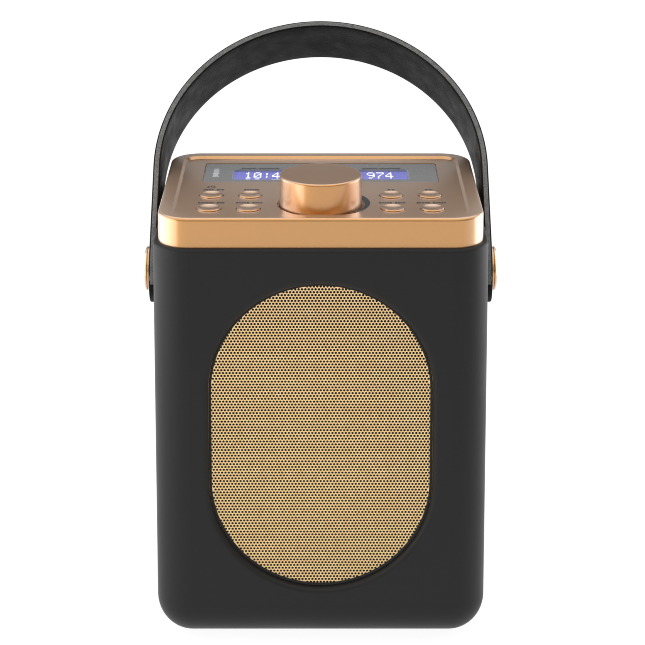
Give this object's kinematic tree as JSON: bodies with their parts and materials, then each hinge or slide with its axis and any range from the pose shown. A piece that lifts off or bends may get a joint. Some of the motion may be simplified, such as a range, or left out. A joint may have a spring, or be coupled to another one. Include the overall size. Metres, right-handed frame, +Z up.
{
  "type": "portable radio",
  "caption": "Small upright portable digital radio: black cabinet, copper top with knob, buttons and display, tall perforated grille, swinging leather strap, rear aerial.",
  "frame": {"origin": "centre of the resting plane, under the rubber foot pad", "axes": "+Z up through the top cap, -Y out of the grille at the front, +X to the right when the grille is seen from the front"},
  "size_m": [0.1072, 0.1006, 0.1725],
  "materials": {
    "soft_touch_black": "matte",
    "copper_cap": "satin",
    "copper_knob": "satin",
    "copper_button": "satin",
    "copper_screw": "satin",
    "grille_gold": "satin",
    "speaker_cloth": "matte",
    "black_plastic": "matte",
    "foot_rubber": "matte",
    "roll_rubber": "matte",
    "strap_leather": "matte",
    "plated_steel": "satin",
    "magnet_iron": "matte",
    "coil_copper": "satin",
    "cone_paper": "matte",
    "window_grey": "gloss",
    "lens_clear": "gloss",
    "lcd_blue": "satin",
    "light_guide": "gloss",
    "board_green": "satin",
    "ribbon_white": "satin",
    "wire_red": "gloss",
    "cell_wrap": "gloss"
  },
  "bodies": {
    "cabinet": {"cabinet_shell": "soft_touch_black", "foot_pad": "foot_rubber", "rear_panel": "soft_touch_black", "rear_screws": "plated_steel", "front_grille": "grille_gold", "grille_cloth": "speaker_cloth", "speaker_baffle": "black_plastic", "case_screws": "plated_steel", "speaker_basket": "plated_steel", "speaker_magnet": "magnet_iron", "speaker_surround": "roll_rubber", "passive_frame": "black_plastic", "passive_surround": "roll_rubber", "speaker_screws": "plated_steel", "speaker_leads": "wire_red", "top_cap": "copper_cap", "cap_screws": "plated_steel", "display_window": "window_grey", "display_lens": "lens_clear", "lcd_glass": "lcd_blue", "lcd_backlight": "light_guide", "lcd_carrier": "black_plastic", "control_board": "board_green", "board_screws": "plated_steel", "tact_switches": "black_plastic", "ribbon_cable": "ribbon_white", "encoder_body": "plated_steel", "encoder_nut": "plated_steel", "strap_screws": "copper_screw", "strap_washers": "black_plastic", "strap_nuts": "plated_steel", "main_board": "board_green", "tuner_shield": "plated_steel", "audio_jacks": "black_plastic", "usb_socket": "plated_steel", "battery_tray": "black_plastic", "battery_cells": "cell_wrap", "aerial_mount": "plated_steel"},
    "handle": {"handle_strap": "strap_leather", "strap_eyelets": "plated_steel"},
    "encoder_press": {"encoder_plunger": "plated_steel"},
    "volume_knob": {"encoder_shaft": "plated_steel", "volume_knob": "copper_knob"},
    "speaker_cone": {"voice_coil": "coil_copper", "speaker_cone": "cone_paper", "dust_cap": "cone_paper"},
    "passive_plate": {"passive_plate": "plated_steel"},
    "aerial_swivel": {"aerial_swivel": "plated_steel"},
    "aerial_mast": {"aerial_mast": "plated_steel"},
    "aerial_stage_2": {"aerial_stage_2": "plated_steel"},
    "aerial_stage_3": {"aerial_stage_3": "plated_steel"},
    "aerial_stage_4": {"aerial_stage_4": "plated_steel"},
    "button_left_outer_front": {"button_left_outer_front": "copper_button"},
    "button_left_inner_front": {"button_left_inner_front": "copper_button"},
    "button_right_inner_front": {"button_right_inner_front": "copper_button"},
    "button_right_outer_front": {"button_right_outer_front": "copper_button"},
    "button_left_outer_back": {"button_left_outer_back": "copper_button"},
    "button_left_inner_back": {"button_left_inner_back": "copper_button"},
    "button_right_inner_back": {"button_right_inner_back": "copper_button"},
    "button_right_outer_back": {"button_right_outer_back": "copper_button"}
  },
  "joints": [
    {"name": "handle_swing", "type": "hinge", "parent": "cabinet", "child": "handle", "pos_m": [0, 0, 0.1045], "axis": [1, 0, 0], "range_deg": [-50, 130]},
    {"name": "knob_press", "type": "slide", "parent": "cabinet", "child": "encoder_press", "axis": [0, 0, -1], "range_m": [0, 0.0005], "stiffness_N_per_m": 4000},
    {"name": "volume_turn", "type": "hinge", "parent": "encoder_press", "child": "volume_knob", "pos_m": [0, -0.0189, 0.13], "axis": [0, 0, 1], "continuous": true},
    {"name": "press_left_outer_front", "type": "slide", "parent": "cabinet", "child": "button_left_outer_front", "axis": [0, 0, -1], "range_m": [0, 0.0004], "stiffness_N_per_m": 2500},
    {"name": "press_left_inner_front", "type": "slide", "parent": "cabinet", "child": "button_left_inner_front", "axis": [0, 0, -1], "range_m": [0, 0.0004], "stiffness_N_per_m": 2500},
    {"name": "press_right_inner_front", "type": "slide", "parent": "cabinet", "child": "button_right_inner_front", "axis": [0, 0, -1], "range_m": [0, 0.0004], "stiffness_N_per_m": 2500},
    {"name": "press_right_outer_front", "type": "slide", "parent": "cabinet", "child": "button_right_outer_front", "axis": [0, 0, -1], "range_m": [0, 0.0004], "stiffness_N_per_m": 2500},
    {"name": "press_left_outer_back", "type": "slide", "parent": "cabinet", "child": "button_left_outer_back", "axis": [0, 0, -1], "range_m": [0, 0.0004], "stiffness_N_per_m": 2500},
    {"name": "press_left_inner_back", "type": "slide", "parent": "cabinet", "child": "button_left_inner_back", "axis": [0, 0, -1], "range_m": [0, 0.0004], "stiffness_N_per_m": 2500},
    {"name": "press_right_inner_back", "type": "slide", "parent": "cabinet", "child": "button_right_inner_back", "axis": [0, 0, -1], "range_m": [0, 0.0004], "stiffness_N_per_m": 2500},
    {"name": "press_right_outer_back", "type": "slide", "parent": "cabinet", "child": "button_right_outer_back", "axis": [0, 0, -1], "range_m": [0, 0.0004], "stiffness_N_per_m": 2500},
    {"name": "cone_travel", "type": "slide", "parent": "cabinet", "child": "speaker_cone", "axis": [0, -1, 0], "range_m": [-0.0008, 0.0008], "stiffness_N_per_m": 1200, "deforming": ["speaker_surround"]},
    {"name": "passive_travel", "type": "slide", "parent": "cabinet", "child": "passive_plate", "axis": [0, -1, 0], "range_m": [-0.0012, 0.0012], "stiffness_N_per_m": 700, "deforming": ["passive_surround"]},
    {"name": "aerial_turn", "type": "hinge", "parent": "cabinet", "child": "aerial_swivel", "pos_m": [0.0315, 0.0416, 0.096], "axis": [0, -1, 0], "range_deg": [0, 145]},
    {"name": "aerial_fold", "type": "hinge", "parent": "aerial_swivel", "child": "aerial_mast", "pos_m": [0.0315, 0.0416, 0.0865], "axis": [1, 0, 0], "range_deg": [0, 90]},
    {"name": "aerial_slide_2", "type": "slide", "parent": "aerial_mast", "child": "aerial_stage_2", "axis": [0, 0, -1], "range_m": [0, 0.045]},
    {"name": "aerial_slide_3", "type": "slide", "parent": "aerial_stage_2", "child": "aerial_stage_3", "axis": [0, 0, -1], "range_m": [0, 0.044]},
    {"name": "aerial_slide_4", "type": "slide", "parent": "aerial_stage_3", "child": "aerial_stage_4", "axis": [0, 0, -1], "range_m": [0, 0.042]}
  ]
}
